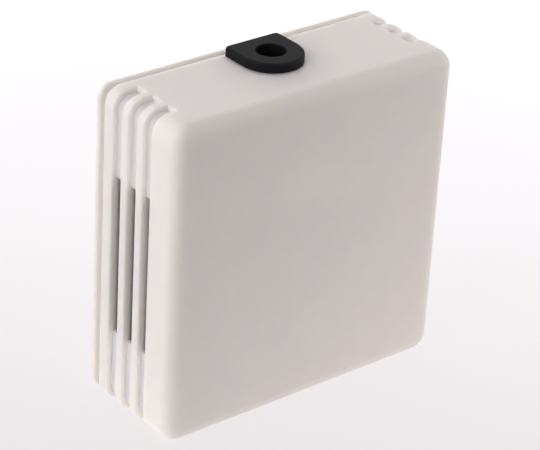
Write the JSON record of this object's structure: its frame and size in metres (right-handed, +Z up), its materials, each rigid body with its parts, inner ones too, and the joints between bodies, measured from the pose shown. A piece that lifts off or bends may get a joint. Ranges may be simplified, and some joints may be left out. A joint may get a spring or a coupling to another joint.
{
  "type": "resistance temperature sensor",
  "caption": "Square wall-mount room temperature sensor: grooved pull-off cover with side air slots, rubber cable grommet, screw terminals and a platinum element inside.",
  "frame": {"origin": "under the middle of the housing, on the plane its lower edge stands on", "axes": "+Z up towards the cable grommet, +Y towards the wall, +X to the right seen from the front"},
  "size_m": [0.071, 0.0266, 0.0731],
  "materials": {
    "housing_plastic": "fine spark-eroded mould texture, warm off-white",
    "black_rubber": "matt moulded rubber",
    "board_laminate": "green solder mask on glass-fibre laminate",
    "copper_track": "bare copper",
    "zinc_screw": "bright zinc plate",
    "terminal_plastic": "moulded polyamide, dark grey",
    "terminal_screw_steel": "zinc-plated steel",
    "cage_nickel": "nickel-plated brass",
    "tinned_brass": "tinned brass",
    "solder": "soft bright solder",
    "ceramic": "sintered alumina",
    "platinum": "thin metal film",
    "bead_glass": "sealing glass",
    "lead_wire": "drawn wire",
    "sleeve_plastic": "translucent sleeve"
  },
  "bodies": {
    "base": {"rear_plate": "housing_plastic", "cable_grommet": "black_rubber", "circuit_board": "board_laminate", "board_tracks": "copper_track", "board_screw_left": "zinc_screw", "board_screw_right": "zinc_screw", "terminal_housing": "terminal_plastic", "solder_joints": "solder", "element_chip": "ceramic", "element_film": "platinum", "element_glass": "bead_glass", "element_leads": "lead_wire", "lead_sleeves": "sleeve_plastic", "terminal_bar_1": "tinned_brass", "terminal_bar_2": "tinned_brass", "terminal_bar_3": "tinned_brass", "terminal_bar_4": "tinned_brass"},
    "cover": {"front_cover": "housing_plastic"},
    "screw_1": {"terminal_screw_1": "terminal_screw_steel"},
    "cage_1": {"terminal_cage_1": "cage_nickel"},
    "screw_2": {"terminal_screw_2": "terminal_screw_steel"},
    "cage_2": {"terminal_cage_2": "cage_nickel"},
    "screw_3": {"terminal_screw_3": "terminal_screw_steel"},
    "cage_3": {"terminal_cage_3": "cage_nickel"},
    "screw_4": {"terminal_screw_4": "terminal_screw_steel"},
    "cage_4": {"terminal_cage_4": "cage_nickel"}
  },
  "joints": [
    {"name": "cover_slide", "type": "slide", "parent": "base", "child": "cover", "axis": [0, -1, 0], "range_m": [0, 0.03]},
    {"name": "screw_turn_1", "type": "hinge", "parent": "base", "child": "screw_1", "pos_m": [-0.00762, -0.0041, 0.0421], "axis": [0, 1, 0], "range_deg": [0, 1080]},
    {"name": "cage_rise_1", "type": "slide", "parent": "base", "child": "cage_1", "axis": [0, -1, 0], "range_m": [0, 0.00135]},
    {"name": "screw_turn_2", "type": "hinge", "parent": "base", "child": "screw_2", "pos_m": [-0.00254, -0.0041, 0.0421], "axis": [0, 1, 0], "range_deg": [0, 1080]},
    {"name": "cage_rise_2", "type": "slide", "parent": "base", "child": "cage_2", "axis": [0, -1, 0], "range_m": [0, 0.00135]},
    {"name": "screw_turn_3", "type": "hinge", "parent": "base", "child": "screw_3", "pos_m": [0.00254, -0.0041, 0.0421], "axis": [0, 1, 0], "range_deg": [0, 1080]},
    {"name": "cage_rise_3", "type": "slide", "parent": "base", "child": "cage_3", "axis": [0, -1, 0], "range_m": [0, 0.00135]},
    {"name": "screw_turn_4", "type": "hinge", "parent": "base", "child": "screw_4", "pos_m": [0.00762, -0.0041, 0.0421], "axis": [0, 1, 0], "range_deg": [0, 1080]},
    {"name": "cage_rise_4", "type": "slide", "parent": "base", "child": "cage_4", "axis": [0, -1, 0], "range_m": [0, 0.00135]}
  ],
  "couplings": [
    {"joint": "screw_turn_1", "follows": "cage_rise_1", "rad_per_m": 13963},
    {"joint": "screw_turn_2", "follows": "cage_rise_2", "rad_per_m": 13963},
    {"joint": "screw_turn_3", "follows": "cage_rise_3", "rad_per_m": 13963},
    {"joint": "screw_turn_4", "follows": "cage_rise_4", "rad_per_m": 13963}
  ]
}
